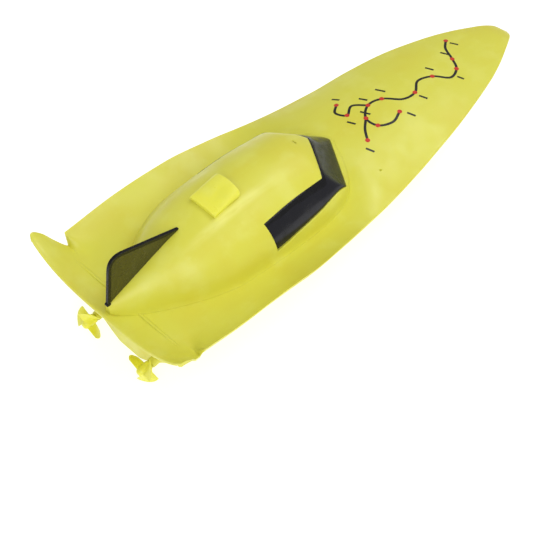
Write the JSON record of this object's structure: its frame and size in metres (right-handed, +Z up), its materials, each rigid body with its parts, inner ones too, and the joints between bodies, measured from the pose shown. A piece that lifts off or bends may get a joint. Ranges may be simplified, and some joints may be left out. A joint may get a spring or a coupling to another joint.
{
  "type": "rc boat",
  "caption": "Yellow toy speed boat with raised stern wings, lift-off canopy with smoked visor and tail fin, and twin spinning propellers under the stern lip.",
  "frame": {"origin": "centre of the base: on the keel plane, midway along and across the boat", "axes": "+X towards the bow, +Y to port, +Z up"},
  "size_m": [0.3384, 0.1298, 0.0848],
  "materials": {
    "hull_yellow": "waxy moulded plastic, lemon yellow",
    "bright_yellow": "moulded plastic, brighter yellow",
    "smoked_plastic": "glossy smoked plastic",
    "grey_plastic": "matte",
    "black_plastic": "matte",
    "red_plastic": "satin",
    "battery_blue": "shrink wrap",
    "board_green": "solder mask",
    "seal_rubber": "matte",
    "steel": "bright"
  },
  "bodies": {
    "hull_assembly": {"hull": "hull_yellow", "deck": "hull_yellow", "hatch_seal": "seal_rubber", "inner_hatch": "grey_plastic", "hatch_screw_1": "steel", "hatch_screw_2": "steel", "hatch_screw_3": "steel", "hatch_screw_4": "steel", "switch_housing": "black_plastic", "motor_bulkhead": "grey_plastic", "motor_port": "steel", "motor_starboard": "steel", "stern_tube_port": "hull_yellow", "stern_tube_starboard": "hull_yellow", "equipment_tray": "grey_plastic", "battery_pack": "battery_blue", "receiver_board": "board_green", "water_contact_port": "steel", "water_contact_starboard": "steel", "battery_lead": "red_plastic", "motor_lead_port": "black_plastic", "motor_lead_starboard": "black_plastic", "antenna_wire": "black_plastic"},
    "canopy_assembly": {"canopy": "hull_yellow", "visor": "smoked_plastic", "tail_fin": "smoked_plastic", "roof_scoop": "bright_yellow"},
    "port_shaft_line": {"propeller_port": "bright_yellow", "prop_shaft_port": "steel", "shaft_coupling_port": "black_plastic", "motor_shaft_port": "steel"},
    "starboard_shaft_line": {"propeller_starboard": "bright_yellow", "prop_shaft_starboard": "steel", "shaft_coupling_starboard": "black_plastic", "motor_shaft_starboard": "steel"},
    "power_slider": {"switch_slider": "red_plastic"}
  },
  "joints": [
    {"name": "canopy_lift", "type": "slide", "parent": "hull_assembly", "child": "canopy_assembly", "axis": [0, 0, 1], "range_m": [0, 0.06]},
    {"name": "port_propeller_spin", "type": "hinge", "parent": "hull_assembly", "child": "port_shaft_line", "pos_m": [-0.16345, 0.024, 0.0123], "axis": [0.9903, 0, 0.1392], "continuous": true},
    {"name": "starboard_propeller_spin", "type": "hinge", "parent": "hull_assembly", "child": "starboard_shaft_line", "pos_m": [-0.16345, -0.024, 0.0123], "axis": [0.9903, 0, 0.1392], "continuous": true},
    {"name": "power_switch_slide", "type": "slide", "parent": "hull_assembly", "child": "power_slider", "axis": [0, 1, 0], "range_m": [0, 0.004]}
  ]
}
